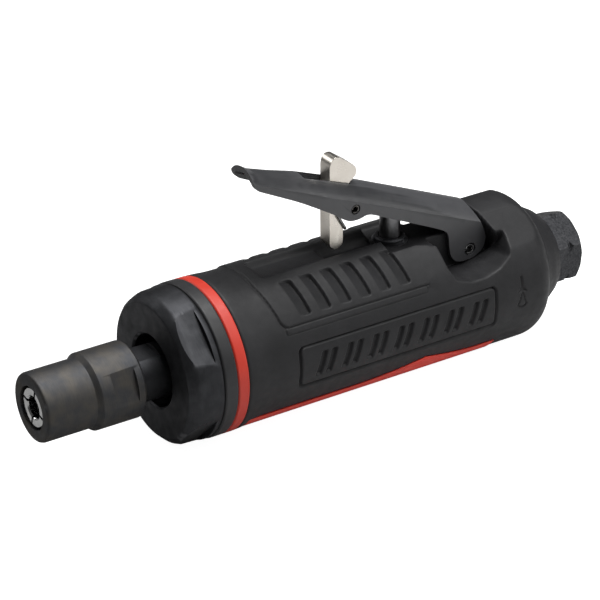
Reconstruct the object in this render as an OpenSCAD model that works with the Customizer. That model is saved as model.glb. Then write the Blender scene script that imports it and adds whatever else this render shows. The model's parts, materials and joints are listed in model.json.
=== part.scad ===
// Pneumatic straight die grinder with a guarded throttle lever, as separate bench pieces.
// The spindle axis is the X axis: the nose face is at x = 0 and the air inlet is at the far +X end.
// +Z points to the lever side and -Y is the left side seen from behind. All sizes are millimetres.
// Angles called "up" are measured about X, from the -Y side (0) up to the lever side (90).
// Threads are drawn as plain cylinders at their working diameters.

/* [Collet] */
// Bore of the collet, which is the shank size it grips
collet_bore_d = 6.35; // [6:0.05:6.5]
// Number of slits in the collet
collet_slits = 4; // [3:1:6]
// Width of each slit
slit_w = 0.8; // [0.5:0.1:1.2]

/* [Collet nut] */
// Length of the nut from the nose face
nut_len = 29.6; // [29:0.1:30]
// Diameter of the front part of the nut
nut_d = 19.6; // [19:0.1:20.5]
// Diameter of the rear skirt of the nut
nut_skirt_d = 21.8; // [21:0.1:22]
// Where the front part ends and the skirt starts
nut_step_x = 14.8; // [13:0.1:17]
// Distance across the two wrench flats of the nut
nut_flats = 19.6; // [19:0.1:20.5]

/* [Front cap] */
// Front face of the cap
cap_x = 37; // [36:0.1:38]
// Outer diameter of the cap
cap_d = 44; // [43:0.1:44.4]
// Distance across opposite flats of the cap
cap_flats = 40.9; // [39:0.1:41]
// Diameter of the hole that the spindle nose passes through
cap_bore_d = 20.8; // [19:0.1:21]

/* [Rings] */
// Where the cap ends and the rings start
ring_x = 47.1; // [46.5:0.1:47.5]
// Width of the black spacer ring
spacer_w = 4.1; // [3:0.1:5]
// Width of the coloured ring
accent_w = 3.5; // [2.5:0.1:4]
// Outer diameter of both rings
ring_d = 44.4; // [44:0.1:45]

/* [Grip shell] */
// Outer diameter of the grip
grip_d = 43.4; // [43:0.1:44]
// Rear face of the grip
grip_end = 158.9; // [158.5:0.1:159.5]
// Height of the raised saddle over the grip
saddle_h = 0.4; // [0.2:0.1:0.6]
// Number of finger grooves on each side
groove_count = 6; // [3:1:6]
// Spacing of the finger grooves
groove_pitch = 6.58; // [6:0.01:6.6]
// Depth of a finger groove at its rear wall
groove_depth = 1.1; // [0.5:0.1:1.5]
// Thickness of the coloured belly inlay
inlay_t = 1; // [0.6:0.1:1.2]

/* [Lever] */
// Pivot of the lever along X
pivot_x = 138.1; // [137.5:0.1:138.5]
// Height of the lever pivot
pivot_z = 11.9; // [11.6:0.1:12.2]
// Width over the lever's side walls
lever_w = 14; // [13.6:0.1:14.4]
// Width over the side walls at the front end
lever_front_w = 11.6; // [11:0.1:14]
// Sheet thickness of the lever
sheet_t = 1.5; // [1.2:0.1:1.8]
// Pivot of the latch along X, with the lever up
latch_x = 98.7; // [98.4:0.1:99]
// Height of the latch pivot, with the lever up
latch_z = 35; // [34.8:0.1:35.2]
// Thickness of the latch
latch_w = 4.8; // [4.4:0.1:5]

/* [Valve] */
// Position of the valve along X
valve_x = 115; // [114.6:0.1:115.4]
// Diameter of the plunger
plunger_d = 6; // [5.6:0.1:6.2]
// Top of the plunger, with the lever up
plunger_top = 32.9; // [32:0.1:33]

/* [Air inlet] */
// Distance across the flats of the inlet hexagon
hex_flats = 19.5; // [19:0.1:20]
// End of the inlet, which is the length of the tool
tool_len = 176.8; // [176:0.1:178]
// Diameter of the pipe thread in the inlet
pipe_d = 11.4; // [11:0.1:12]

/* [Hidden] */
$fn = 96;
fit = 0.03;          // gap between fixed pieces
run = 0.05;          // radial gap of a running fit
far = 60;            // a length past everything

accent_x = ring_x + spacer_w;
grip_x = accent_x + accent_w;
grip_r = grip_d / 2;

housing_x = 47.4;    // front of the motor housing
housing_r = 17;
bore_r = 14.25;      // motor bore
insert_x = 122;      // where the housing narrows to the inlet tube
insert_r = 8.4;
flange_x = 147;      // where it widens again to the rear flange
flange_r = 14;
housing_end = 158;

front_plate_x = 53;
front_plate_end = 63.5;
rotor_x = 63.6;
rotor_end = 97.4;
rear_plate_x = 97.5;
rear_plate_end = 106.3;
rotor_r = 10.4;
liner_r = 14.2;
liner_bore_r = 11.7;
liner_offset = 1.2;  // how far the liner bore is off the spindle axis
blade_t = 2;

thread_r = 8;        // nose thread that the nut turns on
body_x = 10;         // front of the collet body
neck_r = 7.6;
neck_flats = 13;

crown = 6;           // length of the grip's rounded tail
tail_r = 17;         // radius where the tail meets the exhaust collar
shoulder_up = 58;    // direction each shoulder flat faces, up from level
shoulder_r = 20.7;   // distance of the shoulder flats from the axis
web_w = 10.8;        // width of the grip's middle web, between the lever's ears
deck_z = 18.6;       // floor of the recess under the lever
trough_w = 8.2;
trough_z = 20;
relief_z = 17.6;     // floor of the pocket that clears the latch foot
pocket_slope = 7.4;  // tilt of the ear pocket's floor, in degrees

// A solid of revolution about the X axis from [radius, x] points.
module turned(points) rotate([0, 90, 0]) rotate_extrude() polygon(points);

// A round bar along X from x = a to x = b.
module bar(r, a, b) translate([a, 0, 0]) rotate([0, 90, 0]) cylinder(r = r, h = b - a);

// A tube along X.
module tube(ro, ri, a, b) difference() {
    bar(ro, a, b);
    bar(ri, a - 1, b + 1);
}

// A ring sector about X, between two "up" angles.
module sector(ro, ri, a, b, up1, up2)
    rotate([0, 90, 0]) rotate([0, 0, -up2 - 90]) rotate_extrude(angle = up2 - up1)
        polygon([[ri, a], [ro, a], [ro, b], [ri, b]]);

// A side outline of [x, z] points, made w wide and centred on y = 0.
module side_slab(w) translate([0, w / 2, 0]) rotate([90, 0, 0]) linear_extrude(w) children();

// A round pin across the tool.
module cross_pin(x, z, r, w) translate([x, w / 2, z]) rotate([90, 0, 0]) cylinder(r = r, h = w);

// A ring of round section about X.
module oring_x(x, r, wire) rotate([0, 90, 0]) rotate_extrude() translate([r, x]) circle(r = wire);

// A ring of round section about a vertical line at the valve.
module oring_z(z, r, wire) translate([valve_x, 0, 0]) rotate_extrude() translate([r, z]) circle(r = wire);

// ---- nose ----

module collet_nut() color("dimgray") difference() {
    turned([
        [6.25, 0], [nut_d / 2 - 1, 0], [nut_d / 2 - 0.25, 0.3], [nut_d / 2, 1],
        [nut_d / 2, nut_step_x], [nut_skirt_d / 2, nut_step_x + 1.4],
        [nut_skirt_d / 2, nut_len - 0.7], [nut_skirt_d / 2 - 0.7, nut_len],
        [thread_r + run, nut_len], [thread_r + run, body_x - 0.6], [7.46, body_x - 0.6],
        [7.46, 4.6], [6.25, 2.4]
    ]);
    for (side = [-1, 1])
        rotate([-20, 0, 0]) translate([nut_step_x + 5, side * (nut_flats / 2 + 5) - 5, -far / 2])
            cube([7.2, 10, far]);
}

module collet() color("silver") difference() {
    turned([
        [collet_bore_d / 2 + 0.4, 0.6], [5.4, 0.6], [5.7, 0.9], [5.7, 2.2], [7.4, 4.8],
        [7.4, 8.6], [6.5, 8.6], [6.5, 9.8], [6.85, 10.2], [4.95, 24], [collet_bore_d / 2, 24],
        [collet_bore_d / 2, 1]
    ]);
    for (i = [0:collet_slits - 1])
        rotate([13 + i * 360 / collet_slits, 0, 0])
            translate([0, 0, -slit_w / 2]) cube([20, 12, slit_w]);
}

module collet_body() color("dimgray") difference() {
    turned([
        [6.95, body_x + 0.1], [thread_r - 0.5, body_x + 0.1], [thread_r, body_x + 0.6],
        [thread_r, 26.5], [7.2, 27.3], [7.2, 28.6], [neck_r, 29.2], [neck_r, 46], [6, 46],
        [6, front_plate_x], [4.02, front_plate_x], [4.02, 33.5], [0, 33.5], [0, 30],
        [4.6, 30], [4.6, 24.4], [5.03, 24.4]
    ]);
    for (side = [-1, 1])
        translate([30.5, -far / 2, side * (neck_flats / 2 + 5) - 5]) cube([7, far, 10]);
}

// ---- front cap and rings ----

module front_cap() color("#3a3a3c") difference() {
    turned([
        [cap_bore_d / 2 + 0.6, cap_x], [19, cap_x], [19.6, cap_x + 0.3],
        [21.2, cap_x + 2], [21.6, cap_x + 3], [cap_d / 2, ring_x - 0.9],
        [cap_d / 2 - 0.4, ring_x], [liner_r, ring_x], [liner_r, front_plate_x],
        [cap_bore_d / 2, front_plate_x], [cap_bore_d / 2, cap_x + 0.6]
    ]);
    for (i = [0:3])
        rotate([-(46 + 90 * i), 0, 0]) translate([cap_x - 1, -cap_flats / 2 - 10, -far / 2])
            cube([9.3, 10, far]);
}

module ring(a, w) turned([
    [housing_r + fit, a], [ring_d / 2 - 0.4, a], [ring_d / 2, a + 0.4],
    [ring_d / 2, a + w - 0.3], [ring_d / 2 - 0.3, a + w], [housing_r + fit, a + w]
]);

module spacer_ring() color("#242426") ring(ring_x + fit, spacer_w - 2 * fit);

module accent_ring() color("#d04030") ring(accent_x, accent_w - fit);

// ---- ball bearings ----
// Each is [x, bore r, inner race r, pitch r, outer race r, outer r, width, ball r].

front_bearing = [53, 4, 6, 7.5, 9, 11, 7, 1.98];
rear_bearing = [100, 3, 5, 6.25, 7.5, 9.5, 6, 1.75];
ball_count = 7;
groove_gap = 0.04;

module ball_path(b) oring_x(b[0] + b[6] / 2, b[3], b[7] + groove_gap);

module race_outer(b) color("silver") difference() {
    tube(b[5], b[4], b[0], b[0] + b[6]);
    ball_path(b);
}

module race_inner(b) color("silver") difference() {
    tube(b[2], b[1], b[0], b[0] + b[6]);
    ball_path(b);
}

module balls(b) color("white") for (i = [0:ball_count - 1])
    rotate([i * 360 / ball_count, 0, 0]) translate([b[0] + b[6] / 2, b[3], 0]) sphere(r = b[7], $fn = 48);

module ball_cage(b) color("goldenrod") difference() {
    tube(b[3] + 0.45, b[3] - 0.45, b[0] + b[6] / 2 - b[7] - 0.4, b[0] + b[6] / 2 + b[7] + 0.4);
    for (i = [0:ball_count - 1]) rotate([i * 360 / ball_count, 0, 0])
        translate([b[0] + b[6] / 2, 2, 0]) rotate([-90, 0, 0]) cylinder(r = b[7] + 0.08, h = 10);
}

// ---- air motor ----

module front_end_plate() color("gray") difference() {
    turned([
        [11 + fit, front_plate_x], [liner_r, front_plate_x], [liner_r, front_plate_end],
        [5.4, front_plate_end], [5.4, 60 + fit], [11 + fit, 60 + fit]
    ]);
    dowel_hole();
}

module motor_liner() color("slategray") difference() {
    bar(liner_r, front_plate_end + fit, rear_plate_x - fit);
    translate([0, 0, liner_offset]) bar(liner_bore_r, front_plate_end - 1, rear_plate_x + 1);
    dowel_hole();
    for (i = [0:2], side = [-1, 1])
        rotate([side * 70, 0, 0]) translate([74 + 6 * i, 0, 0]) rotate([180, 0, 0]) cylinder(r = 1.4, h = 20);
}

module dowel_hole() translate([0, 0, -12.4]) bar(0.93, 60.6, 100.4);

module liner_dowel() color("silver") translate([0, 0, -12.4]) bar(0.9, 60.8, 100.2);

module rotor() color("lightslategray") difference() {
    union() {
        bar(3.99, 34, rotor_x);
        bar(5.2, 60 + fit, rotor_x);
        bar(rotor_r, rotor_x, rotor_end);
        bar(4.2, rotor_end, 100);
        bar(2.99, 100, 106);
    }
    for (i = [0:3]) rotate([45 + 90 * i, 0, 0])
        translate([rotor_x - 1, -blade_t / 2 - run, 4.6]) cube([far, blade_t + 2 * run, 10]);
}

module rotor_blades() color("saddlebrown") for (i = [0:3]) rotate([45 + 90 * i, 0, 0])
    translate([rotor_x + 0.1, -blade_t / 2, 4.7]) cube([rotor_end - rotor_x - 0.2, blade_t, 5.55]);

module rear_end_plate() color("gray") difference() {
    union() {
        bar(liner_r, rear_plate_x, 101.5);
        bar(12, 101.5, rear_plate_end);
    }
    bar(rear_bearing[5] + fit, 100 - fit, rear_plate_end + 1);
    bar(4.6, rear_plate_x - 1, 101);
    dowel_hole();
    for (side = [-1, 1])
        rotate([side * 14, 0, 0]) translate([0, 0, 10.75]) bar(0.9, rear_plate_x - 1, rear_plate_end + 1);
}

module preload_washer() color("silver") tube(9.4, 8, 106.02, 106.4);

// ---- motor housing ----

// Exhaust grooves that run back under the grip shell, two on each side.
module exhaust_channels(b) for (side = [-1, 1], up = [15, 45])
    rotate([side * up, 0, 0]) translate([0, side * 16.8, 0]) bar(1.5, 76, b);

module exhaust_ports() for (side = [-1, 1], up = [15, 45])
    rotate([side * up, 0, 0]) translate([80, 0, 0]) rotate([-side * 90, 0, 0]) cylinder(r = 1.4, h = 17);

module motor_housing() color("silver") difference() {
    union() {
        bar(housing_r, housing_x, insert_x);
        bar(insert_r, insert_x, flange_x);
        bar(flange_r, flange_x, housing_end);
    }
    bar(bore_r, housing_x - 1, 101.55);
    bar(12.1, 101.5, 106.45);
    bar(4, valve_x, housing_end + 1);
    bar(7.5, 147.8, housing_end + 1);
    translate([0, 0, 10.8]) bar(1.8, 106, 111);
    translate([valve_x, 0, -14]) cylinder(r = 4.6, h = 30);
    translate([valve_x, 0, 5.3]) cylinder(r = 5.25, h = 20);
    exhaust_channels(insert_x + 1);
    exhaust_ports();
}

// ---- grip shell ----

grip_outline = concat(
    [[housing_r + fit, grip_x], [grip_r - 0.3, grip_x], [grip_r, grip_x + 0.4]],
    [for (a = [0:10:90]) [tail_r + (grip_r - tail_r) * cos(a), grip_end - 0.4 - crown * (1 - sin(a))]],
    [[tail_r, grip_end], [16.2, grip_end], [16.2, 150], [flange_r + fit, 150],
     [flange_r + fit, flange_x - fit], [insert_r + fit, flange_x - fit],
     [insert_r + fit, insert_x + fit], [housing_r + fit, insert_x + fit]]
);

// Side outline of the pocket that a lever ear swings in.
pocket_outline = [
    [123.8, far], [123.8, 12], [125.5, 8.8], [130, 7.4], [135, 7.4], [140, 8.6],
    [144, 11], [145.6, 15], [146.3, far]
];

// Edge of the belly inlay, the same on both sides.
inlay_outline = [
    [grip_x + 2.5, -far], [grip_x + 2.5, -13.5], [95, -13.5], [105, -12.4], [114.7, -10.4],
    [124, -12.4], [132, -13.5], [140, -13.5], [140, -far]
];

module finger_grooves() for (side = [0, 1], i = [0:groove_count - 1]) mirror([0, side, 0])
    rotate([0, 90, 0]) rotate([0, 0, -68 - 90]) rotate_extrude(angle = 29.5) polygon([
        [grip_r + saddle_h, 74.2 + i * groove_pitch],
        [grip_r + saddle_h - groove_depth, 76.9 + i * groove_pitch],
        [grip_r + saddle_h + 1, 76.9 + i * groove_pitch],
        [grip_r + saddle_h + 1, 74.2 + i * groove_pitch]
    ]);

// The badge is a plain engraved frame with slanted bars in place of a name.
module badge() for (side = [0, 1]) mirror([0, side, 0]) {
    difference() {
        sector(grip_r + 1, grip_r - 0.5, 71, 137.5, -17, 17);
        sector(grip_r + 2, grip_r - 1, 71.9, 136.6, -14.7, 14.7);
    }
    for (i = [0:6]) sector(grip_r + 1, grip_r - 0.5, 76 + 8.4 * i, 81.6 + 8.4 * i, -9, 9);
}

module ear_pockets() for (side = [0, 1]) mirror([0, side, 0]) intersection() {
    translate([0, -web_w / 2, 0]) rotate([-pocket_slope, 0, 0]) rotate([90, 0, 0])
        translate([0, 0, -4]) linear_extrude(30) polygon(pocket_outline);
    translate([100, -web_w / 2 - far, 0]) cube([far, far, far]);
}

module lever_recess() {
    translate([69.5, -trough_w / 2, trough_z]) cube([41, trough_w, far]);
    translate([92, -2.8, relief_z]) cube([17, 5.6, far]);
    translate([109.2, -7.3, deck_z]) cube([16, 14.6, far]);
    translate([123, -web_w / 2 - 0.01, deck_z]) cube([23.3, web_w + 0.02, far]);
}

// The crown's own material that closes in behind the lever's rear edge and scoops the pockets' rear ends.
module crown_nose() intersection() {
    side_slab(far) polygon([[143.9, 0], [143.9, 15.8], [140.5, 23], [140.5, 30], [150, 30], [150, 0]]);
    translate([140, 0, 0]) rotate([90, 0, 90]) linear_extrude(12)
        polygon([[-4.2, 0], [-14.4, 25], [14.4, 25], [4.2, 0]]);
}

// Flats that take a little off both shoulders of the crown, behind the lever.
module shoulder_flats() for (side = [0, 1]) mirror([0, side, 0])
    rotate([-shoulder_up, 0, 0]) translate([140, -shoulder_r - 10, -far / 2]) cube([far, 10, far]);

module belly(t, gap) intersection() {
    tube(grip_r + gap + 0.25, grip_r - t, grip_x + 1, 145);
    side_slab(far) polygon(inlay_outline);
}

module grip_shell() color("#2a2a2c") difference() {
    union() {
        turned(grip_outline);
        difference() {
            sector(grip_r + saddle_h, grip_r - 1, 65.4, 123.8, 33, 147);
            bar(grip_r - 0.5, 60, 130);
        }
    }
    finger_grooves();
    badge();
    difference() {
        union() {
            ear_pockets();
            lever_recess();
        }
        crown_nose();
    }
    shoulder_flats();
    belly(inlay_t + fit, 3);
    translate([valve_x, 0, 10]) cylinder(r = 5.25, h = 20);
    cross_pin(pivot_x, pivot_z, 1.51, 2 * far);
    exhaust_channels(151);
}

module belly_inlay() color("#d04030") belly(inlay_t, 0);

// ---- lever and latch ----

lever_slope = 22.5;
arch_r = 8.1;
lever_top = [
    [139.6, 23.9], [125.2, 31.1], [114, 36], [103.1, 40.5], [91.5, 44.7], [84, 47.4], [76, 49.7],
    [69.4, 51.9], [66.6, 53.3]
];
lever_front = 66.1;
taper_x = 92;        // where the lever's sides start to draw in towards the front

module lever_side() polygon(concat(lever_top, [
    [lever_front, 52.8], [66.6, 50.4], [67.4, 48.6], [68.6, 47.8], [87, 38.2], [94.3, 33.5],
    [97.2, 31.8], [100.2, 31.8], [102.8, 32.3], [108.7, 29.7], [120.4, 24.4], [129.4, 19.6],
    [130.8, 17], [130.9, 14], [132, 10.8], [134.4, 9.1], [138, 8.9], [141.8, 10.2], [143.4, 12.4],
    [143.4, 15.8]
]));

// The room inside the lever, under its sheet roof.
module lever_inside() polygon(concat(
    [for (p = lever_top) [p[0], p[1] - sheet_t - 0.15]],
    [[60, 53], [60, -far], [150, -far], [150, 22.3]]
));

// Plan of the lever, with both sides drawn in by inset.
module lever_plan(inset) {
    front = lever_front_w / 2 - inset;
    side = lever_w / 2 - inset;
    linear_extrude(far) polygon([
        [60, -front], [lever_front, -front], [taper_x, -side], [150, -side],
        [150, side], [taper_x, side], [lever_front, front], [60, front]
    ]);
}

// Room under an arched back of radius r that runs straight up the lever's slope.
module under_arch(r) translate([139.6, 0, 23.9]) rotate([0, lever_slope - 90, 0]) translate([-7.4, 0, -12]) {
    cylinder(r = r, h = 110);
    translate([-30, -r, 0]) cube([30, 2 * r, 110]);
}

module throttle_lever() color("#3c3d40") difference() {
    intersection() {
        side_slab(lever_w) lever_side();
        lever_plan(0);
        under_arch(arch_r);
    }
    intersection() {
        side_slab(lever_w) lever_inside();
        lever_plan(sheet_t);
        under_arch(arch_r - sheet_t);
    }
    // Slot that the latch stands in and folds into
    translate([84.3, -2.75, 30]) cube([15.8, 5.5, 30]);
    cross_pin(pivot_x, pivot_z, 1.5 + run, 2 * lever_w);
    cross_pin(latch_x, latch_z, 1.21, 2 * lever_w);
}

module lever_pin() color("silver") difference() {
    cross_pin(pivot_x, pivot_z, 1.5, lever_w + 0.6);
    cross_pin(pivot_x, pivot_z, 0.8, 2 * lever_w);
}

module latch_pin() color("silver") cross_pin(latch_x, latch_z, 1.2, lever_w + 0.4);

foot_r = 2.2;

module lock_latch() color("gainsboro") difference() {
    side_slab(latch_w) polygon(concat(
        [[93.7, 48.9], [94.3, 49.5], [95.1, 49.8], [96.2, 49.6], [100.7, 46.4], [101.6, 45.4],
         [102, 44.2], [101.7, 42.9], [100.6, 41.9], [99.6, 41.2],
         [99.4, 38.4], [101, 36.6], [101.2, 34.2], [99.8, 32.4], [96.9, 31.4], [97.6, 28.6]],
        [for (a = [0:-15:-180]) [95.4 + foot_r * cos(a), 24.1 + foot_r * sin(a)]],
        [[93.1, 33], [93.1, 47.1], [93.3, 48.1]]
    ));
    cross_pin(latch_x, latch_z, 1.2 + run, 2 * latch_w);
}

// A straight length of round wire in the plane y, between two [x, z] points.
module wire_run(y, from, to, r) translate([from[0], y, from[1]])
    rotate([0, atan2(to[0] - from[0], to[1] - from[1]), 0]) cylinder(r = r, h = norm(to - from), $fn = 24);

// Torsion spring beside the latch: three coils, a leg hooked behind the latch and a leg under the roof.
module latch_spring() color("silver") {
    wire = 0.45;
    coil_r = 2;
    side = -2.95;
    for (i = [0:2]) translate([latch_x, side - 0.8 * i, latch_z]) rotate([90, 0, 0])
        rotate_extrude() translate([coil_r, 0]) circle(r = wire, $fn = 24);
    wire_run(side - 0.1, [latch_x - coil_r + 0.1, latch_z + 0.7], [95.2, 32.1], wire);
    wire_run(side, [95.35, 32.4], [98.08, 27.5], wire);
    translate([98.08, side - 0.2, 27.6]) rotate([-90, 0, 0]) cylinder(r = wire, h = 2.1, $fn = 24);
    wire_run(side - 1.6, [latch_x - coil_r + 0.1, latch_z], [96.1, 38], wire);
}

// ---- throttle valve ----

head_z = 3.2;
head_r = 4.1;
seat_z = 5.4;
spring_floor = -14;

module throttle_plunger() color("gainsboro") translate([valve_x, 0, 0]) difference() {
    rotate_extrude() polygon(concat(
        [[0, head_z], [head_r, head_z], [head_r, seat_z - 0.9], [1.6, seat_z - 0.9], [1.6, 15.2],
         [plunger_d / 2, 15.2], [plunger_d / 2, plunger_top - 2.4]],
        [for (a = [15:15:90]) [plunger_d / 2 * cos(a), plunger_top - 2.4 + 2.4 * sin(a)]]
    ));
    // Seat for the seal ring in the valve head
    rotate_extrude() translate([3.3, seat_z - 0.9]) square([0.6, 1.4], center = true);
}

module valve_seal() color("#1a1a1a") translate([valve_x, 0, seat_z - 1.55])
    rotate_extrude() translate([3.02, 0]) square([0.55, 1.53]);

module valve_bushing() color("silver") translate([valve_x, 0, 0]) difference() {
    rotate_extrude() polygon([
        [2.6, seat_z + 0.02], [5.2, seat_z + 0.02], [5.2, 15], [4.3, 15], [4.3, 16.6], [5.2, 16.6],
        [5.2, 18.7], [4.5, 18.7], [4.5, 19.7], [4.1, 20.1], [3.45, 20.1], [plunger_d / 2 + run, 19.7],
        [plunger_d / 2 + run, 17.8], [4, 17.8], [4, 16.95], [plunger_d / 2 + run, 16.95],
        [plunger_d / 2 + run, 8.4], [2.6, 7.9]
    ]);
    for (i = [0:3]) translate([0, 0, 10.8]) rotate([0, 90, 90 * i]) cylinder(r = 1.6, h = 10);
}

module plunger_oring() color("#1a1a1a") oring_z(17.375, plunger_d / 2 + run + 0.42, 0.4);

module bushing_oring() color("#1a1a1a") oring_z(15.8, 4.75, 0.42);

module valve_spring() color("silver") {
    wire = 0.45;
    coil_r = 3;
    free = head_z - spring_floor;
    turns = 8;
    step = (free - 2 * wire - 0.06) / turns;
    for (i = [0:turns]) oring_z(spring_floor + wire + 0.03 + i * step, coil_r, wire);
    for (i = [0:turns - 1]) translate([valve_x, 0, spring_floor + wire + 0.03 + i * step])
        rotate([0, 0, 180 * i]) translate([coil_r, 0, 0]) cylinder(r = wire * 0.8, h = step, $fn = 24);
}

// ---- air inlet and exhaust ----

hex_x = 167.3;
screen_x = 161;
screen_r = 5.26;

module inlet_bushing() color("#2c2c2e") difference() {
    union() {
        bar(7.45, 148, 160);
        bar(8.6, 159 + fit, hex_x + 1);
        intersection() {
            translate([hex_x, 0, 0]) rotate([0, 90, 0]) rotate([0, 0, 6])
                cylinder(r = hex_flats / sqrt(3), h = tool_len - hex_x, $fn = 6);
            turned([[0, hex_x], [10.4, hex_x], [11.4, hex_x + 0.8], [11.4, 171], [10.4, 171.9],
                    [10.4, 172.5], [11.4, 173.4], [11.4, tool_len - 1.4], [9.9, tool_len], [0, tool_len]]);
        }
    }
    bar(4, 140, 170);
    bar(screen_r + 0.04, screen_x - 0.05, screen_x + 1.05);
    bar(pipe_d / 2, screen_x + 1, tool_len + 1);
    turned([
        [0, tool_len - 0.7], [pipe_d / 2, tool_len - 0.7], [pipe_d / 2 + 0.8, tool_len + 0.1],
        [0, tool_len + 0.1]
    ]);
}

module inlet_washer() color("peru") tube(9.4, 7.55, housing_end + 0.01, 159);

module inlet_screen() color("goldenrod") difference() {
    bar(screen_r, screen_x, screen_x + 0.9);
    bar(0.6, 160, 163);
    for (i = [0:5]) rotate([60 * i, 0, 0]) translate([0, 2, 0]) bar(0.6, 160, 163);
    for (i = [0:11]) rotate([30 * i, 0, 0]) translate([0, 3.9, 0]) bar(0.6, 160, 163);
}

module exhaust_collar() color("#2a2a2c") difference() {
    turned([
        [13.6, grip_end + 0.05], [16.5, grip_end + 0.05], [16.65, grip_end + 0.4], [16.3, grip_end + 1.2],
        [15.6, 161.4], [14.7, 163.6], [13.4, 165.8], [12.2, 167.2], [8.7, 167.2], [8.7, 165.6], [11.6, 165.6]
    ]);
    for (i = [-2:2]) rotate([24 * i, 0, 0])
        translate([162.6, 0, 0]) rotate([180, -25, 0]) cylinder(r = 1.3, h = 25);
}

module exhaust_felt() color("lightgray") tube(16.1, flange_r + 0.1, 151.2, 158.6);

collet_nut();
collet();
collet_body();
front_cap();
spacer_ring();
accent_ring();
front_end_plate();
race_outer(front_bearing);  // front_bearing_outer
race_inner(front_bearing);  // front_bearing_inner
balls(front_bearing);  // front_bearing_balls
ball_cage(front_bearing);  // front_bearing_cage
rotor();
rotor_blades();
motor_liner();
liner_dowel();
rear_end_plate();
race_outer(rear_bearing);  // rear_bearing_outer
race_inner(rear_bearing);  // rear_bearing_inner
balls(rear_bearing);  // rear_bearing_balls
ball_cage(rear_bearing);  // rear_bearing_cage
preload_washer();
motor_housing();
grip_shell();
belly_inlay();
throttle_lever();
lever_pin();
lock_latch();
latch_pin();
latch_spring();
throttle_plunger();
valve_seal();
valve_bushing();
plunger_oring();
bushing_oring();
valve_spring();
inlet_bushing();
inlet_washer();
inlet_screen();
exhaust_collar();
exhaust_felt();
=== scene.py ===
"""The looks of a straight air die grinder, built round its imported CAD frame.

Sizes are millimetres in the CAD's frame: X runs along the spindle from the nose face to the air inlet,
+Z is the lever side and -Y is the side the camera sees. "Up" angles are measured about X in degrees,
from -Y (0) to the lever side (90). The ends of the grip and its inlay and the lever's pivots are read from
the CAD frame. The other sizes of the grip and lever are those of the same CAD model.
"""
import json
import math

import bmesh
import bpy
import numpy as np
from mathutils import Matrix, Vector


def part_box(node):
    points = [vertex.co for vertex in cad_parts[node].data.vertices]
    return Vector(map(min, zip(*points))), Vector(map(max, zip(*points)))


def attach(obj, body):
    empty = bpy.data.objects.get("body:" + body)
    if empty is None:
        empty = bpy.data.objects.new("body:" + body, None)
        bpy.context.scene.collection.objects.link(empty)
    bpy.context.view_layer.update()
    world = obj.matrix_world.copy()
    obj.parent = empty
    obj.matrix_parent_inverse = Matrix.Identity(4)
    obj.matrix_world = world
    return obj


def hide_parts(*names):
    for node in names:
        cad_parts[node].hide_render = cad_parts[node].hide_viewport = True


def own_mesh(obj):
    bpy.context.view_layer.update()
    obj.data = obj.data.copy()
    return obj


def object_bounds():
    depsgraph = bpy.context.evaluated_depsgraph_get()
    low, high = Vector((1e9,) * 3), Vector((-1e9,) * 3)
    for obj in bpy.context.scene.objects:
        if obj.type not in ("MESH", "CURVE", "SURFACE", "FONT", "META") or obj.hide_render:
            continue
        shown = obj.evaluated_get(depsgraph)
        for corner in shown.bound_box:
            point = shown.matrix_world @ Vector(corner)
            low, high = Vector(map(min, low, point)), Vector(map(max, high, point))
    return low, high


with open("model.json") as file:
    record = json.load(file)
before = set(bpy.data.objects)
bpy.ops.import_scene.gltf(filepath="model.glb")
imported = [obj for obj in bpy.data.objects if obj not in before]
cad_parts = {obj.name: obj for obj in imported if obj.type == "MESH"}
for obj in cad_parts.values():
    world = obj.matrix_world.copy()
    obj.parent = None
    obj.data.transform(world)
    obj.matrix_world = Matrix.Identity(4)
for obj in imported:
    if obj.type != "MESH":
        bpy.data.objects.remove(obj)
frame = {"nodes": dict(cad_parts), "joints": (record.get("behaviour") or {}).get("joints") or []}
NODES = frame["nodes"]
cad_low, cad_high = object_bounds()

MM = 0.001


def span(node):
    """The lowest and highest corner of a CAD node, in millimetres."""
    low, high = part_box(node)
    return np.array(low) / MM, np.array(high) / MM


def pivot(joint):
    """X and Z of a joint's axis, in millimetres."""
    place = next(j["pos_m"] for j in frame["joints"] if j["name"] == joint)
    return place[0] / MM, place[2] / MM


# ---- materials ----

def shader(name, colour, roughness, metallic=0.0, specular=0.5):
    """A new material, its node tree and its main shader node."""
    material = bpy.data.materials.new(name)
    material.use_nodes = True
    tree = material.node_tree
    main = tree.nodes["Principled BSDF"]
    main.inputs["Base Color"].default_value = (*colour, 1)
    main.inputs["Roughness"].default_value = roughness
    main.inputs["Metallic"].default_value = metallic
    main.inputs["Specular IOR Level"].default_value = specular
    return material, tree, main


def noise(tree, feature, stretch=(1, 1, 1), detail=3.0):
    """Noise in the part's own space, with features about this many millimetres wide, drawn out by stretch."""
    place = tree.nodes.new("ShaderNodeTexCoord")
    scale = tree.nodes.new("ShaderNodeMapping")
    scale.inputs["Scale"].default_value = [1 / (feature * MM * s) for s in stretch]
    tree.links.new(place.outputs["Object"], scale.inputs["Vector"])
    texture = tree.nodes.new("ShaderNodeTexNoise")
    texture.inputs["Scale"].default_value = 1.0
    texture.inputs["Detail"].default_value = detail
    tree.links.new(scale.outputs["Vector"], texture.inputs["Vector"])
    return texture.outputs["Fac"]


def remap(tree, value, low, high, start=0.3, end=0.7):
    """The value from start to end, brought to low to high."""
    node = tree.nodes.new("ShaderNodeMapRange")
    for key, number in (("From Min", start), ("From Max", end), ("To Min", low), ("To Max", high)):
        node.inputs[key].default_value = number
    tree.links.new(value, node.inputs["Value"])
    return node.outputs["Result"]


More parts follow.
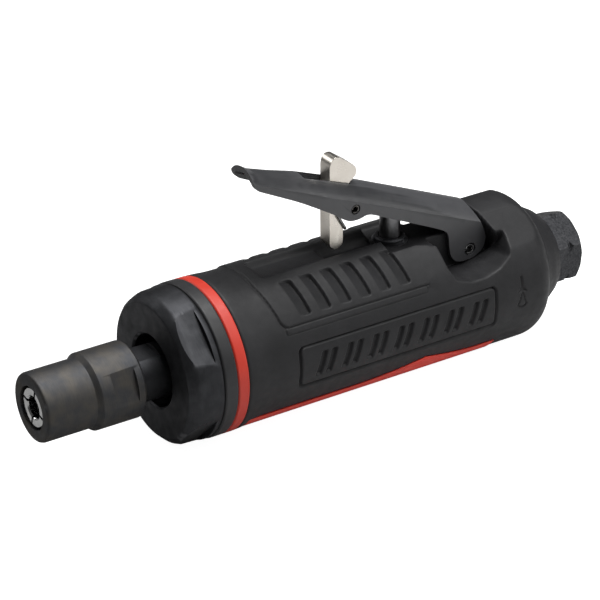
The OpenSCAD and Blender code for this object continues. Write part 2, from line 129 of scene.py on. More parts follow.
def mix_colours(tree, share, first, second):
    """A colour between first and second, each a colour or another node's output."""
    node = tree.nodes.new("ShaderNodeMix")
    node.data_type = "RGBA"
    tree.links.new(share, node.inputs["Factor"])
    for key, colour in (("A", first), ("B", second)):
        socket = [s for s in node.inputs if s.name == key and s.type == "RGBA"][0]
        if isinstance(colour, tuple):
            socket.default_value = (*colour, 1)
        else:
            tree.links.new(colour, socket)
    return [s for s in node.outputs if s.type == "RGBA"][0]


def bump(tree, main, height, depth, previous=None):
    """Raises the surface by a height output, depth in millimetres."""
    node = tree.nodes.new("ShaderNodeBump")
    node.inputs["Distance"].default_value = depth * MM
    tree.links.new(height, node.inputs["Height"])
    if previous is not None:
        tree.links.new(previous, node.inputs["Normal"])
    tree.links.new(node.outputs["Normal"], main.inputs["Normal"])
    return node.outputs["Normal"]


def convexity(tree, start, end):
    """Rises from 0 to 1 as the surface goes from one convexity to another, where a half is flat."""
    geometry = tree.nodes.new("ShaderNodeNewGeometry")
    return remap(tree, geometry.outputs["Pointiness"], 0, 1, start, end)


def moulded(name, dark, light, roughness, grain=0.25, depth=0.02, specular=0.35):
    """Moulded plastic: fine grain over slow tone and gloss changes, with rubbed edges and painted shade in
    its concave spots.
    """
    material, tree, main = shader(name, dark, roughness, specular=specular)
    rubbed = tuple(min(1, c * 1.5 + 0.004) for c in light)
    # painted shade: a near-black tone for concave spots, standing in for the shade that gathers in grooves
    # and dents
    painted_hollow_shade = tuple(c * 0.15 for c in dark)
    tone = mix_colours(tree, remap(tree, noise(tree, 9), 0, 1), dark, light)
    tone = mix_colours(tree, convexity(tree, 0.52, 0.62), tone, rubbed)
    # painted shade: concave spots are darkened towards that near-black tone
    tone = mix_colours(tree, convexity(tree, 0.4, 0.49), painted_hollow_shade, tone)
    tree.links.new(tone, main.inputs["Base Color"])
    gloss = remap(tree, noise(tree, 2.5, detail=5), roughness - 0.07, roughness + 0.07)
    tree.links.new(gloss, main.inputs["Roughness"])
    coarse = bump(tree, main, noise(tree, grain, detail=2), depth)
    bump(tree, main, noise(tree, grain * 6, detail=1), depth * 2, coarse)
    return material


def metal(name, dark, light, roughness, mottle, lines=(1, 1, 1), line_width=0.2, depth=0.006,
          wear=None, streaks=0.09):
    """Metal with mottled tone, fine tool or brush lines drawn out by lines, and lighter worn edges."""
    material, tree, main = shader(name, dark, roughness, metallic=1.0)
    rubbed = wear or tuple(min(1, c * 1.25 + 0.02) for c in light)
    tone = mix_colours(tree, remap(tree, noise(tree, mottle, detail=6), 0, 1, 0.35, 0.65), dark, light)
    tone = mix_colours(tree, convexity(tree, 0.53, 0.66), tone, rubbed)
    tree.links.new(tone, main.inputs["Base Color"])
    scratches = noise(tree, line_width, lines, detail=4)
    gloss = remap(tree, scratches, roughness - streaks, roughness + streaks)
    tree.links.new(gloss, main.inputs["Roughness"])
    bump(tree, main, scratches, depth)
    return material


ROUND_X = (0.4, 12, 12)   # turning marks round the spindle axis are narrow along X

grip_composite = moulded("grip_composite", (0.0135, 0.0135, 0.0145), (0.018, 0.018, 0.0195), 0.54,
                         specular=0.3)
ring_black = moulded("ring_black", (0.02, 0.02, 0.021), (0.028, 0.028, 0.03), 0.45, depth=0.01)
# painted light: the same red as accent_red, made brighter to stand in for light that the belly inlay, lit
# only by bounce, does not get
inlay_red_painted_light = moulded("inlay_red_painted_light", (0.7, 0.042, 0.025), (0.78, 0.052, 0.032), 0.42,
                    depth=0.008, specular=0.4)
accent_red = moulded("accent_red", (0.52, 0.033, 0.018), (0.6, 0.045, 0.025), 0.42,
                     depth=0.008, specular=0.4)
lever_coat = moulded("lever_coat", (0.028, 0.0285, 0.031), (0.036, 0.0365, 0.039), 0.38,
                     grain=0.5, depth=0.008, specular=0.6)
seal_rubber = moulded("seal_rubber", (0.012, 0.012, 0.012), (0.018, 0.018, 0.018), 0.6)
blade_composite = moulded("blade_composite", (0.09, 0.045, 0.02), (0.14, 0.07, 0.03), 0.55)
felt = moulded("felt", (0.33, 0.32, 0.3), (0.45, 0.44, 0.41), 0.95,
               grain=0.5, depth=0.25, specular=0.1)

black_oxide = metal("black_oxide", (0.038, 0.039, 0.042), (0.053, 0.054, 0.058), 0.54, mottle=4,
                    lines=ROUND_X, line_width=0.25, wear=(0.17, 0.17, 0.18))
phosphate = metal("phosphate", (0.064, 0.066, 0.071), (0.096, 0.09, 0.082), 0.62, mottle=5,
                  lines=ROUND_X, wear=(0.13, 0.13, 0.135))
pitted_steel = metal("pitted_steel", (0.035, 0.036, 0.039), (0.07, 0.071, 0.075), 0.5, mottle=0.6,
                     line_width=0.4, depth=0.04, wear=(0.2, 0.2, 0.21))
bright_nickel = metal("bright_nickel", (0.72, 0.67, 0.6), (0.8, 0.75, 0.68), 0.3, mottle=6,
                      lines=(1, 3, 1), line_width=0.5, depth=0.001, streaks=0.03)
bright_steel = metal("bright_steel", (0.6, 0.6, 0.6), (0.78, 0.78, 0.77), 0.2, mottle=2,
                     lines=ROUND_X, depth=0.003)
plunger_steel = metal("plunger_steel", (0.15, 0.15, 0.155), (0.22, 0.22, 0.225), 0.36, mottle=3,
                      lines=(3, 3, 0.3), line_width=0.3, depth=0.002, streaks=0.04)
# darker steel for the hidden motor parts, and painted shade on the latch's roll pin, which is bright steel
# sitting in shade
dark_steel_and_pin_shade = metal("dark_steel_and_pin_shade", (0.12, 0.115, 0.11), (0.2, 0.19, 0.18), 0.35, mottle=1.5,
                   lines=ROUND_X)
spring_steel = metal("spring_steel", (0.16, 0.16, 0.16), (0.24, 0.235, 0.23), 0.3, mottle=1,
                     depth=0.003)
cast_aluminium = metal("cast_aluminium", (0.5, 0.5, 0.5), (0.62, 0.62, 0.61), 0.45, mottle=3,
                       line_width=0.4, depth=0.03)
brass = metal("brass", (0.5, 0.33, 0.11), (0.62, 0.43, 0.16), 0.32, mottle=2,
              lines=ROUND_X, depth=0.004)


# ---- pieces ----

def smooth_by_angle():
    """A modifier group that smooths faces and keeps edges sharper than its angle."""
    group = bpy.data.node_groups.new("smooth_by_angle", "GeometryNodeTree")
    group.interface.new_socket("Geometry", in_out="INPUT", socket_type="NodeSocketGeometry")
    group.interface.new_socket("Geometry", in_out="OUTPUT", socket_type="NodeSocketGeometry")
    start, end = group.nodes.new("NodeGroupInput"), group.nodes.new("NodeGroupOutput")
    faces, edges = (group.nodes.new("GeometryNodeSetShadeSmooth") for _ in range(2))
    edges.domain = "EDGE"
    angle = group.nodes.new("GeometryNodeInputMeshEdgeAngle")
    compare = group.nodes.new("FunctionNodeCompare")
    compare.operation = "LESS_THAN"
    compare.inputs["B"].default_value = math.radians(38)
    group.links.new(start.outputs[0], faces.inputs["Geometry"])
    group.links.new(faces.outputs[0], edges.inputs["Geometry"])
    group.links.new(angle.outputs["Unsigned Angle"], compare.inputs["A"])
    group.links.new(compare.outputs[0], edges.inputs["Shade Smooth"])
    group.links.new(edges.outputs[0], end.inputs[0])
    return group


SMOOTH_GROUP = smooth_by_angle()


def shade_by_angle(piece):
    """Smooths a piece by the group above, its normals following the larger faces."""
    piece.modifiers.new("smooth", "NODES").node_group = SMOOTH_GROUP
    weighted = piece.modifiers.new("weighted", "WEIGHTED_NORMAL")
    weighted.keep_sharp = True
    weighted.weight = 100


def merge_flat_faces(piece, angle):
    """Joins faces that lie within an angle in degrees of each other."""
    flatten = piece.modifiers.new("flatten", "DECIMATE")
    flatten.decimate_type = "DISSOLVE"
    flatten.angle_limit = math.radians(angle)


def round_edges(piece, width, segments, sharpest):
    """Rounds the edges that turn by more than an angle in degrees, by a width in millimetres."""
    round_off = piece.modifiers.new("round_off", "BEVEL")
    round_off.width = width * MM
    round_off.segments = segments
    round_off.limit_method = "ANGLE"
    round_off.angle_limit = math.radians(sharpest)
    return round_off


def machined(node, material, width=0.0, segments=2):
    """A CAD node kept as it is, with its edges rounded by a width in millimetres, and a finished material."""
    piece = NODES[node]
    piece.modifiers.new("weld", "WELD").merge_threshold = 1e-6
    merge_flat_faces(piece, 0.6)
    if width:
        round_edges(piece, width, segments, 30).miter_outer = "MITER_ARC"
    shade_by_angle(piece)
    piece.data.materials.clear()
    piece.data.materials.append(material)


def face_outwards(mesh):
    """Turns every face of a closed mesh to the outside."""
    shape = bmesh.new()
    shape.from_mesh(mesh)
    bmesh.ops.recalc_face_normals(shape, faces=shape.faces)
    shape.to_mesh(mesh)
    shape.free()
    mesh.update()


def add_piece(name, points, faces, material, body, slot, node):
    """A new smooth mesh from points in millimetres, that rides on a body and stands for a CAD node."""
    mesh = bpy.data.meshes.new(name)
    mesh.from_pydata((np.asarray(points, float) * MM).tolist(), [], faces)
    face_outwards(mesh)
    mesh.polygons.foreach_set("use_smooth", np.ones(len(mesh.polygons), bool))
    mesh.materials.append(material)
    piece = bpy.data.objects.new(name, mesh)
    bpy.context.scene.collection.objects.link(piece)
    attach(piece, body)
    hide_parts(node)
    return piece


def grid_faces(rows, columns, close_rows=True):
    """Quads over a grid of points whose columns join round, and whose rows can."""
    row = np.arange(rows if close_rows else rows - 1)[:, None]
    column = np.arange(columns)[None, :]
    next_row, next_column = (row + 1) % rows, (column + 1) % columns
    corners = [row * columns + column, row * columns + next_column,
               next_row * columns + next_column, next_row * columns + column]
    return np.stack([c.ravel() for c in corners], 1).tolist()


def tube_faces(rings, corners):
    """Faces of a tube through rings of points, closed at both ends."""
    last = (rings - 1) * corners
    ends = [tuple(range(corners)), tuple(range(last, last + corners))]
    return grid_faces(rings, corners, close_rows=False) + ends


def prism(outline, near, far):
    """A flat side outline of (x, z) points, made solid from y = near to y = far."""
    points = [(x, y, z) for y in (near, far) for x, z in outline]
    return points, tube_faces(2, len(outline))


def wire(path, radius, sides=14):
    """A round wire along a path of points, capped at both ends."""
    path = np.asarray(path, float)
    along = np.gradient(path, axis=0)
    along /= np.linalg.norm(along, axis=1)[:, None]
    across = np.cross(along[0], (0.31, 0.52, 0.79))   # square to the path's start, whichever way it runs
    turn = np.linspace(0, 2 * math.pi, sides, endpoint=False)[:, None]
    rings = []
    for place, forward in zip(path, along):
        across = across - forward * (across @ forward)
        across /= np.linalg.norm(across)
        third = np.cross(forward, across)
        rings.append(place + radius * (np.cos(turn) * across + np.sin(turn) * third))
    return np.concatenate(rings), tube_faces(len(path), sides)


def rounded(points):
    """The points of an open path with their corners cut twice, each time by a quarter."""
    points = np.asarray(points, float)
    for _ in range(2):
        starts, ends = points[:-1], points[1:]
        pairs = np.stack([0.75 * starts + 0.25 * ends, 0.25 * starts + 0.75 * ends], 1)
        cut = pairs.reshape(-1, points.shape[1])
        points = np.vstack([points[:1], cut[1:-1], points[-1:]])
    return points


def circle(x, y, radius, count=48, start=0, end=360):
    """Points on a circle, or on an arc of it where end - start is under 360 degrees."""
    turn = np.radians(np.linspace(start, end, count, endpoint=end - start < 360))
    return np.stack([x + radius * np.cos(turn), y + radius * np.sin(turn)], 1)


def ease(share):
    """0 below 0 and 1 above 1, with a smooth rise between."""
    share = np.clip(share, 0, 1)
    return share * share * (3 - 2 * share)


def inside(distance, softness=0.35):
    """1 inside an outline and 0 outside, eased over the softness."""
    return ease(0.5 - distance / softness)


def rounded_box(u, v, u0, u1, v0, v1, corner):
    """Distance to a rounded rectangle, negative inside."""
    du = np.abs(u - (u0 + u1) / 2) - (u1 - u0) / 2 + corner
    dv = np.abs(v - (v0 + v1) / 2) - (v1 - v0) / 2 + corner
    return np.hypot(np.maximum(du, 0), np.maximum(dv, 0)) + np.minimum(np.maximum(du, dv), 0) - corner


# ---- grip shell ----

GRIP_LOW, GRIP_HIGH = span("grip_shell")
GRIP_START, GRIP_END, GRIP_R = GRIP_LOW[0], GRIP_HIGH[0], GRIP_HIGH[1]
ARC = math.pi * GRIP_R / 180   # millimetres along the surface in one degree

RIM, CROWN, TAIL_R = 0.4, 6.0, 17.0       # straight rear rim, length of the rounded tail, radius it ends at
CROWN_START = GRIP_END - RIM - CROWN
FRONT_ROWS, CROWN_ROWS = 4, 14            # rows that stay sharp when the skin is smoothed
SHOULDER_X, SHOULDER_UP = 139, 58         # where the tail's two flats start, and the up angle they face
SHOULDER_R = 20.7                         # distance of the flats from the axis

SADDLE_H, SADDLE_FRONT = 0.4, 65.2
SADDLE_SPAN = 57                          # degrees down from the top
EDGE_LINE_END = 116                       # where the fine line along the saddle's edge stops
STRIP_START, STRIP_END = 68.4, 115
STRIP_HIGH, STRIP_LOW = 56.5, 62.2        # degrees down from the top

GROOVES, GROOVE_PITCH, GROOVE_LEN = 6, 6.58, 3.6
GROOVE_REAR = 77.4                        # rear wall of the first groove, at its lower end
GROOVE_LOW, GROOVE_HIGH = 38.5, 68        # up angles of the ends
GROOVE_LEAN = 1.4                         # how much further forward the upper end is

STROKES, STROKE_PITCH, STROKE_START = 7, 8.5, 77.0
MARK_X = 146.3                            # middle of the oil mark

DECK_Z, TROUGH_Z, RELIEF_Z = 18.6, 20.0, 17.6   # floors under the lever, the latch and the latch's foot
RECESS_START, POCKET_START, POCKET_END = 109.2, 123.8, 146.3
EARS_UP = 57                              # above this up angle the pocket ends at the lever's rear edge
WEB_HALF = 5.4                            # half the width of the web between the lever's ears
POCKET_FLOOR = [(123.8, 12), (125.5, 8.8), (130, 7.4), (135, 7.4), (140, 8.6), (144, 11), (145.6, 15),
                (146.3, 40)]              # (x, z)
RECESS_RIM = [(109.2, 65.8), (117.8, 65.7), (120.7, 63), (122.3, 59.5), (123.2, 53), (123.7, 30)]   # (x, up)
NOWHERE = 99.0                            # a radius beyond everything

INLAY_START, INLAY_END = (corner[0] for corner in span("belly_inlay"))
INLAY_DEPTH = 1.03
INLAY_EDGE = [(57.2, -13.5), (95, -13.5), (105, -12.4), (114.7, -10.4), (124, -12.4), (132, -13.5),
              (140, -13.5)]               # (x, z)

# (radius, x) of the steps inside the shell, from front to rear
SHELL_BORE = [(17.03, GRIP_START), (17.03, 122.03), (8.43, 122.03), (8.43, 146.97), (14.03, 146.97),
              (14.03, 150), (16.2, 150), (16.2, GRIP_END)]


def grip_grid():
    """X of the rows and up angles of the columns, finer where there is detail."""
    crown = np.radians(np.linspace(0, 90, CROWN_ROWS)[1:])
    x = np.concatenate([GRIP_START + np.array([0, 0.15, 0.4]), np.arange(GRIP_START + 0.9, 64, 0.5),
                        np.arange(64, CROWN_START, 0.26), CROWN_START + CROWN * np.sin(crown), [GRIP_END]])
    half = np.concatenate([np.arange(-90, -42, 2), np.arange(-42, -19, 1.2), np.arange(-19, 74, 0.64),
                           np.arange(74.2, 89.9, 1), [90]])
    return x, np.concatenate([half, 180 - half[-2:0:-1]])


def outer_radius(x, up):
    """Radius of the plain grip, with its flared front edge, its rounded tail and the tail's two flats."""
    share = np.clip((x - CROWN_START) / CROWN, 0, 1)
    radius = TAIL_R + (GRIP_R - TAIL_R) * np.sqrt(1 - share ** 2)
    radius += 0.45 * (1 - ease((x - GRIP_START) / 7.5))
    radius -= 0.3 * (1 - ease((x - GRIP_START) / 0.4))
    flat = SHOULDER_R / np.cos(np.radians(np.clip(up - SHOULDER_UP, -60, 60)))
    return radius - np.maximum(radius - flat, 0) * ease((x - SHOULDER_X) / 3)


def saddle(x, up):
    """Height of the raised saddle, with the low strip along its lower edge and fine lines round both."""
    down = 90 - up
    front = SADDLE_FRONT + 0.07 * np.maximum(down - 20, 0)
    edge = rounded_box(down * ARC, x - front, -60, SADDLE_SPAN * ARC, 0, 100, 2.2)
    strip = rounded_box(x, down * ARC, STRIP_START, STRIP_END, STRIP_HIGH * ARC, STRIP_LOW * ARC, 0.8)
    height = SADDLE_H * inside(edge, 0.4 + 7 * ease((x - 113) / 8))   # the edge fades out at the rear
    height = np.maximum(height, 0.5 * SADDLE_H * inside(strip, 0.3))
    edge_line = 0.45 * inside(np.abs(edge) - 0.14) * (x < EDGE_LINE_END)
    strip_line = 0.28 * inside(np.abs(strip) - 0.1)
    return height - np.maximum(edge_line, strip_line)


def finger_grooves(x, up):
    """Depth of the ramped grooves, deepest at their rear walls, which lean forward towards the top."""
    share = (up - GROOVE_LOW) / (GROOVE_HIGH - GROOVE_LOW)
    upright_x = x + GROOVE_LEAN * share
    deepest = 0.95 + 0.45 * np.clip(share, 0, 1)
    depth = np.zeros_like(x + up)
    for i in range(GROOVES):
        rear = GROOVE_REAR + GROOVE_PITCH * i
        front = rear - GROOVE_LEN
        ramp = np.clip((upright_x - front) / GROOVE_LEN, 0, 1)
        outline = rounded_box(upright_x, up * ARC, front, rear, GROOVE_LOW * ARC, GROOVE_HIGH * ARC, 0.7)
        depth = np.maximum(depth, deepest * ramp * inside(outline, 0.5))
    return depth


def badge(x, up):
    """Depth of the engraved badge frame, with pairs of slanted strokes in it."""
    along = up * ARC
    outline = rounded_box(x, along, 71, 137.5, -6.45, 6.45, 1.6)
    inner = rounded_box(x, along, 71.8, 136.8, -5.55, 6.0, 1.2)
    depth = 0.95 * inside(outline) * (1 - inside(inner))
    for i in range(STROKES):
        for shift in (0.4, 3.6):
            slanted = x - 0.32 * along - (STROKE_START + STROKE_PITCH * i + shift)
            stroke = rounded_box(slanted, along, 0, 1.7, -3.4, 3.4, 0.3)
            depth = np.maximum(depth, 0.9 * inside(stroke, 0.4))
    return depth


def oil_mark(x, up):
    """Depth of a plain oil-drop outline with an arrow, beside the inlet."""
    along = up * ARC
    across, height = x - MARK_X, along + 1.0
    taper = 1 + 2.2 * np.clip((height + 0.6) / 3.4, 0, 1)
    drop = np.hypot(across * taper, np.maximum(np.abs(height) - 1.2 * (height > 0), 0)) - 1.6
    shaft = rounded_box(x, along, MARK_X - 0.3, MARK_X + 0.3, 3.4, 7.0, 0.1)
    head = np.maximum(np.abs(across) * 0.9 - 0.6 * (3.0 - along) - 0.9, 2.2 - along)
    arrow = np.maximum(inside(shaft, 0.4), inside(head, 0.4))
    return 0.5 * np.maximum(inside(np.abs(drop) - 0.2, 0.4), arrow)


def lever_void(x, up):
    """Radius at which the room for the lever, latch and ears starts, looking out from the spindle axis."""
    angle = np.radians(up)
    sine, cosine = np.sin(angle), np.abs(np.cos(angle))
    side = GRIP_R * cosine
    rear_rim = 139.6 + (23.9 - GRIP_R * sine) * 0.469 + 0.7   # follows the slope of the lever's rear edge
    rim = np.interp(x, *zip(*RECESS_RIM))

    radius = np.full_like(x + up, NOWHERE)
    for where, floor in (((x > 69.5) & (x < 110) & (side < 4.1), TROUGH_Z),
                         ((x > 92) & (x < 110) & (side < 2.8), RELIEF_Z),
                         ((x > RECESS_START) & (x < POCKET_START) & (up > rim), DECK_Z)):
        level = floor / np.maximum(sine, 0.05)
        radius = np.where(where & (sine > 0.05), np.minimum(radius, level), radius)

    floor_z = np.interp(x, *zip(*POCKET_FLOOR))
    lean = np.maximum(sine - 0.13 * cosine, 0.02)   # the floor drops away from the web
    ears = np.maximum(WEB_HALF / np.maximum(cosine, 0.02), (1.0084 * floor_z - 0.702) / lean)
    pocket = np.minimum(ears, DECK_Z / np.maximum(sine, 0.05))
    scoop = 4.17 / np.maximum(cosine - 0.41 * sine, 0.05)
    pocket = np.where((x > 143.4) & (up < EARS_UP), np.maximum(pocket, scoop), pocket)
    in_reach = (x >= POCKET_START) & (x < POCKET_END) & ((x < rear_rim) | (up <= EARS_UP))
    return np.where(in_reach, pocket, radius)


def blurred(field, times):
    """The field smoothed over its neighbours; columns join round, rows stop at the ends."""
    for _ in range(times):
        field = (np.roll(field, 1, 1) + 2 * field + np.roll(field, -1, 1)) / 4
        padded = np.vstack([field[:1], field, field[-1:]])
        field = (padded[:-2] + 2 * field + padded[2:]) / 4
    return field


def inlay_recess(x, up):
    """Depth of the recess that holds the belly inlay."""
    above = GRIP_R * np.sin(np.radians(up)) - np.interp(x, *zip(*INLAY_EDGE))
    beyond = np.maximum(INLAY_START - x, x - INLAY_END)
    return INLAY_DEPTH * inside(np.maximum(above, beyond), 0.25)


def grip_body():
    """The moulded shell as one skin: a radius for each row and up angle, closed by the steps inside it."""
    rows, columns = grip_grid()
    x, degrees = rows[:, None], columns[None, :]
    up = np.where(degrees > 90, 180 - degrees, degrees)   # both sides are alike
    skin = outer_radius(x, up)
    void = np.minimum(lever_void(x, up), skin + 3)
    plain = blurred(np.minimum(skin + 0.001, void), 3)
    plain[:FRONT_ROWS], plain[-CROWN_ROWS:] = skin[:FRONT_ROWS], skin[-CROWN_ROWS:]
    uncut = ease((plain - skin + 0.45) / 0.3)             # 1 where the lever's room doesn't cut the skin
    detail = saddle(x, up) - np.maximum(finger_grooves(x, up), badge(x, up)) - oil_mark(x, up)
    radius = plain + uncut * (detail - inlay_recess(x, up))

    overhang = ease((x - 128) / 13) * ease((up - 50) / 10) * (x < 150)
    moved_x = x + 0.33 * overhang * np.clip(skin - plain, 0, 8)   # slopes the wall behind the lever

    for bore, place in SHELL_BORE[::-1]:
        radius = np.vstack([radius, np.full((1, len(columns)), bore)])
        moved_x = np.vstack([moved_x, np.full((1, len(columns)), place)])
    angle = np.radians(degrees)
    points = np.stack([moved_x, -radius * np.cos(angle), radius * np.sin(angle)], -1)
    return add_piece("grip_body", points.reshape(-1, 3), grid_faces(*radius.shape), grip_composite,
                     "housing", "grip_composite", "grip_shell")


def carve(piece, operation, points, faces):
    """Cuts a closed shape out of a piece, or keeps only what lies inside it, for good."""
    mesh = bpy.data.meshes.new("cutter")
    mesh.from_pydata((np.asarray(points, float) * MM).tolist(), [], faces)
    face_outwards(mesh)
    cutter = bpy.data.objects.new("cutter", mesh)
    bpy.context.scene.collection.objects.link(cutter)
    cut = piece.modifiers.new("cut", "BOOLEAN")
    cut.object, cut.operation, cut.solver = cutter, operation, "EXACT"
    bpy.context.view_layer.update()
    seen = piece.evaluated_get(bpy.context.evaluated_depsgraph_get())
    piece.data = bpy.data.meshes.new_from_object(seen)
    piece.modifiers.clear()
    bpy.data.objects.remove(cutter)


def upright(outline, low, high):
    """A plan outline of (x, y) points, made solid from z = low to z = high."""
    points, faces = prism(outline, low, high)
    return [(x, y, z) for x, z, y in points], faces


VALVE_X = 115    # axis of the valve and its plunger
GUIDE_HOLE = 5.25

carve(grip_body(), "DIFFERENCE", *upright(circle(VALVE_X, 0, GUIDE_HOLE), 10, 25))


# ---- throttle lever and latch ----

PIVOT, LATCH_PIVOT = pivot("lever_press"), pivot("latch_fold")
SHEET, LEVER_HALF = 1.5, 7     # thickness of the sheet, and half the lever's width
LEVER_LOW, LEVER_TOP = 2, 60   # heights below and above the whole lever
SLOT_FRONT, SLOT_REAR, SLOT_HALF, SLOT_CORNER = 84.3, 99.8, 2.75, 0.5
PIN_HALF = 6.85                # half the length of the pins
ACROSS = (-9, 9)               # past both sides of the lever

# (x, z) of the middle of the lever's arched back, and of the crease it bends down from on each side
LEVER_BACK = [(60, 57.6), (66.6, 53.5), (69.1, 51.9), (76, 49.6), (84.2, 47.2), (93, 43.9), (104.7, 39.4),
              (115.6, 34.9), (126.8, 30.0), (150, 20.0)]
LEVER_CREASE = [(60, 53.5), (66.6, 50.6), (72.2, 48.3), (78.9, 45.5), (85.7, 42.7), (91.2, 40.3), (150, 16)]

# (x, z) of its lower edge seen from the side: tip, boss round the latch pin, ear and rear edge
LEVER_SIDE = [(66.5, 51.5), (66.6, 50.2), (67.0, 49.2), (67.8, 48.3), (69.0, 47.6), (74.4, 45.0),
              (81.2, 41.5), (86.8, 38.2), (91.8, 35.2), (94.9, 32.8), (97.2, 31.7), (100.2, 31.7),
              (102.4, 32.4), (104.5, 31.9), (108.7, 29.8), (120.4, 24.4), (128.8, 20.4), (130.5, 18.6),
              (130.8, 14), (131.5, 11.2), (133.2, 9.2), (136, 8.6), (139.4, 8.9), (142.2, 10.4),
              (143.5, 12.8), (143.5, 15.8), (139.6, 23.9)]


def lever_section(x):
    """The lever's sheet cut across at X: a closed loop of (y, z), outside then inside."""
    half = LEVER_HALF - 1.2 * min(1, max(0, (92 - x) / 25.4))   # narrower to the front
    back = np.interp(x, *zip(*LEVER_BACK))
    rise = back - np.interp(x, *zip(*LEVER_CREASE))
    radius = (half * half + rise * rise) / (2 * rise)
    loop = []
    for inset in (0, SHEET):
        width, bend = half - inset, radius - inset
        across = width * np.sin(np.linspace(-math.pi / 2, math.pi / 2, 25))
        arch = back - radius + np.sqrt(np.maximum(bend * bend - across * across, 0.01))
        side = [(-width, LEVER_LOW), *zip(across, arch), (width, LEVER_LOW)]
        loop += side[::-1] if inset else side
    return loop


def lever_slot():
    """Plan outline of the slot that the latch stands through, with rounded corners."""
    front, rear = SLOT_FRONT + SLOT_CORNER, SLOT_REAR - SLOT_CORNER
    side = SLOT_HALF - SLOT_CORNER
    corners = [(rear, side, 0, 90), (front, side, 90, 180), (front, -side, 180, 270), (rear, -side, 270, 359)]
    return np.vstack([circle(x, y, SLOT_CORNER, 6, start, end) for x, y, start, end in corners])


def throttle_lever():
    """The sheet lever: arched sections joined along it, then cut to its side outline, slot and holes."""
    stations = np.concatenate([np.linspace(62, 96, 60), np.linspace(98, 146, 28)])
    sections = np.array([[(x, y, z) for y, z in lever_section(x)] for x in stations])
    lever = add_piece("lever_sheet", sections.reshape(-1, 3), tube_faces(*sections.shape[:2]), lever_coat,
                      "lever", "lever_coat", "throttle_lever")
    edge = np.vstack([rounded(LEVER_SIDE), [(139, LEVER_TOP), (66.5, LEVER_TOP)]])
    carve(lever, "INTERSECT", *prism(edge, *ACROSS))
    carve(lever, "DIFFERENCE", *upright(lever_slot(), 30, LEVER_TOP))
    for centre, hole in ((PIVOT, 1.9), (LATCH_PIVOT, 1.5)):
        carve(lever, "DIFFERENCE", *prism(circle(*centre, hole, 32), *ACROSS))
    merge_flat_faces(lever, 1.2)
    round_edges(lever, 0.28, 3, 40)
    shade_by_angle(lever)


def roll_pin(name, centre, radius, bore, material, body, slot, node):
    """A slit spring pin across the tool, its gap to the lower front."""
    outside, inside_wall = (circle(*centre, r, 30, 225, 535) for r in (radius, bore))
    outline = np.vstack([outside, inside_wall[::-1]])
    pin = add_piece(name, *prism(outline, -PIN_HALF, PIN_HALF), material, body, slot, node)
    round_edges(pin, 0.15, 2, 40)
    shade_by_angle(pin)


def latch_spring():
    """Torsion spring beside the latch: one leg hooks behind the latch, the other lies under the roof."""
    side, pitch, coil, thick = -2.95, 0.55, 2.0, 0.42
    x, z = LATCH_PIVOT
    turns = np.linspace(0, 2.95, 120)
    angle = 2 * math.pi * turns
    around = np.stack([x - coil * np.cos(angle), side - 0.1 - pitch * turns, z + coil * np.sin(angle)], 1)
    hook = [(98.1, -1.2, 27.6), (98.1, side + 0.3, 27.6), (97.9, side, 27.9), (95.3, side, 32.4),
            (95.3, side, 33), (x - coil, side - 0.05, z - 0.8)]
    roof = [(x - coil, around[-1][1] - 0.05, z + 1), (96.2, around[-1][1] - 0.1, 38.2)]
    path = np.vstack([rounded(hook), around, roof])
    spring = add_piece("latch_spring_wire", *wire(path, thick), spring_steel, "latch", "spring_steel",
                       "latch_spring")
    shade_by_angle(spring)


SPRING_FLOOR, SPRING_TOP, PLUNGER_TRAVEL = -14.0, 3.2, 6.53   # the travel at the lever's full squeeze


def valve_spring():
    """A compression spring under the valve head, with closed end coils."""
    thick, coil, turns = 0.45, 3.0, 9.5
    share = np.linspace(0, 1, 420)
    rise = np.interp(share, [0, 0.09, 0.91, 1], [0, 0.055, 0.945, 1])
    low, high = SPRING_FLOOR + thick + 0.02, SPRING_TOP - thick - 0.02
    turn = 2 * math.pi * turns * share
    path = np.stack([VALVE_X + coil * np.cos(turn), coil * np.sin(turn), low + (high - low) * rise], 1)
    spring = add_piece("valve_spring_wire", *wire(path, thick), spring_steel, "housing", "spring_steel",
                       "valve_spring")
    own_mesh(spring)


throttle_lever()
roll_pin("lever_roll_pin", PIVOT, 1.5, 1.05, bright_steel, "housing", "bright_steel", "lever_pin")
# painted shade: this pin is bright steel like the lever pin, given the darker steel because it sits in shade
roll_pin("latch_roll_pin", LATCH_PIVOT, 1.2, 0.85, dark_steel_and_pin_shade, "lever", "bright_steel", "latch_pin")
latch_spring()
valve_spring()


# ---- machined and moulded CAD pieces ----

machined("collet_nut", phosphate, 0.25, 3)
machined("collet", bright_steel, 0.12)
machined("collet_body", black_oxide, 0.2)
machined("front_cap", black_oxide, 0.35, 3)
machined("spacer_ring", ring_black, 0.2)
machined("accent_ring", accent_red, 0.15)
# painted light: the inlay's red is brightened to make up for the little light that reaches the belly
machined("belly_inlay", inlay_red_painted_light, 0.15)
machined("lock_latch", bright_nickel, 0.3, 3)
machined("throttle_plunger", plunger_steel, 0.1)
machined("valve_bushing", black_oxide, 0.12)
machined("inlet_bushing", pitted_steel, 0.12)
machined("exhaust_collar", grip_composite, 0.25)

hidden = {
    seal_rubber: ["valve_seal", "plunger_oring", "bushing_oring"],
    brass: ["inlet_washer", "inlet_screen", "front_bearing_cage", "rear_bearing_cage"],
    felt: ["exhaust_felt"],
    cast_aluminium: ["front_end_plate", "rear_end_plate", "motor_housing"],
    bright_steel: ["front_bearing_outer", "front_bearing_inner", "front_bearing_balls",
                   "rear_bearing_outer", "rear_bearing_inner", "rear_bearing_balls"],
    dark_steel_and_pin_shade: ["rotor", "motor_liner", "liner_dowel", "preload_washer"],
    blade_composite: ["rotor_blades"],
}
for material, nodes in hidden.items():
    for node in nodes:
        machined(node, material)


# ---- floor, lights and camera ----

def for_camera(tree, seen, otherwise):
    """One value where the camera looks straight at something, and another for the light it gives."""
    path = tree.nodes.new("ShaderNodeLightPath")
    return remap(tree, path.outputs["Is Camera Ray"], otherwise, seen, 0, 1)


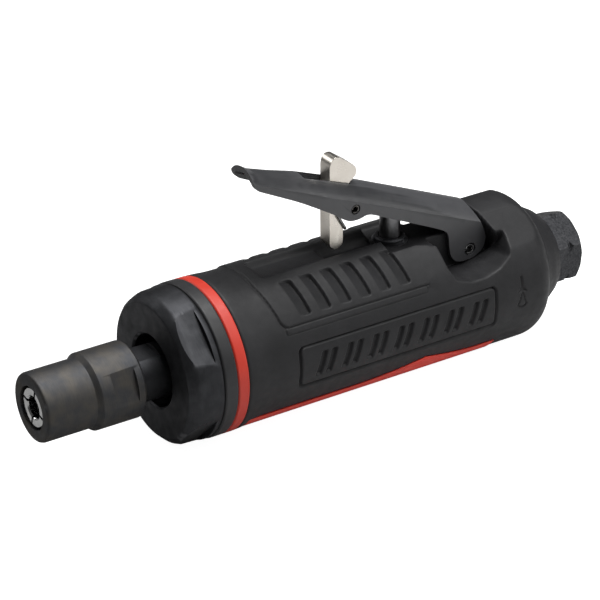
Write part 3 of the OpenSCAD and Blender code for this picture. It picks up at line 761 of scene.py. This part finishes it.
def floor_material():
    """A matte floor, nearly white to the camera, that reflects less at the tool's nose and far side."""
    dark, pale = (0.3, 0.3, 0.3), (0.62, 0.62, 0.62)
    material, tree, main = shader("pale_floor", pale, 0.9, specular=0.1)
    place = tree.nodes.new("ShaderNodeTexCoord")
    along = tree.nodes.new("ShaderNodeVectorMath")
    along.operation = "DOT_PRODUCT"
    along.inputs[1].default_value = (1, -1, 0)
    tree.links.new(place.outputs["Object"], along.inputs[0])
    tone = mix_colours(tree, remap(tree, along.outputs["Value"], 0, 1, -0.02, 0.12), dark, pale)
    tree.links.new(tone, main.inputs["Base Color"])
    main.inputs["Emission Color"].default_value = (1, 1, 1, 1)
    tree.links.new(for_camera(tree, 0.96, 0), main.inputs["Emission Strength"])
    return material


def add_floor():
    """A wide square floor just under the tool."""
    size, gap = 3.0, 0.0002
    mesh = bpy.data.meshes.new("floor")
    level = cad_low.z - gap
    corners = [(-size, -size, level), (size, -size, level), (size, size, level), (-size, size, level)]
    mesh.from_pydata(corners, [], [(0, 1, 2, 3)])
    mesh.materials.append(floor_material())
    floor = bpy.data.objects.new("floor", mesh)
    bpy.context.scene.collection.objects.link(floor)


CENTRE = Vector((0.088, 0, 0.012))   # the lights point here


def add_softbox(name, place, size, watts):
    """A soft rectangular light at a place in metres, turned to the tool."""
    light = bpy.data.lights.new(name, "AREA")
    light.shape = "RECTANGLE"
    light.size, light.size_y = size
    light.energy = watts
    lamp = bpy.data.objects.new(name, light)
    lamp.location = place
    lamp.rotation_mode = "QUATERNION"
    lamp.rotation_quaternion = (CENTRE - Vector(place)).to_track_quat("-Z", "Y")
    bpy.context.scene.collection.objects.link(lamp)


def add_world(strength_seen, strength_lighting):
    """A white surround that the camera sees bright, and that lights the tool only a little."""
    world = bpy.data.worlds.new("studio")
    world.use_nodes = True
    tree = world.node_tree
    ground = tree.nodes["Background"]
    ground.inputs["Color"].default_value = (1, 1, 1, 1)
    tree.links.new(for_camera(tree, strength_seen, strength_lighting), ground.inputs["Strength"])
    bpy.context.scene.world = world


def add_camera():
    """A long lens from the nose's near side, looking down on the tool."""
    azimuth, elevation = math.radians(-33.03), math.radians(28.16)
    back = Vector((math.sin(azimuth) * math.cos(elevation), -math.cos(azimuth) * math.cos(elevation),
                   math.sin(elevation)))
    data = bpy.data.cameras.new("camera")
    data.lens, data.sensor_width = 171.9, 36
    data.clip_start, data.clip_end = 0.01, 20
    camera = bpy.data.objects.new("camera", data)
    camera.location = (-0.2977, -0.5886, 0.3836)
    camera.rotation_mode = "QUATERNION"
    camera.rotation_quaternion = (-back).to_track_quat("-Z", "Y")
    bpy.context.scene.collection.objects.link(camera)
    bpy.context.scene.camera = camera


add_floor()
add_world(1.05, 0.06)
add_softbox("key", (0.2, -0.45, 0.8), (0.5, 0.35), 2.8)
add_softbox("top", (0.2, 0.1, 0.8), (0.6, 0.4), 7.5)
add_softbox("side", (0.6, -0.45, 0.35), (0.3, 0.5), 1.3)
add_softbox("back", (-0.45, 0.75, 0.5), (0.5, 0.4), 1.5)
add_camera()
bpy.context.scene.view_settings.view_transform = "Standard"
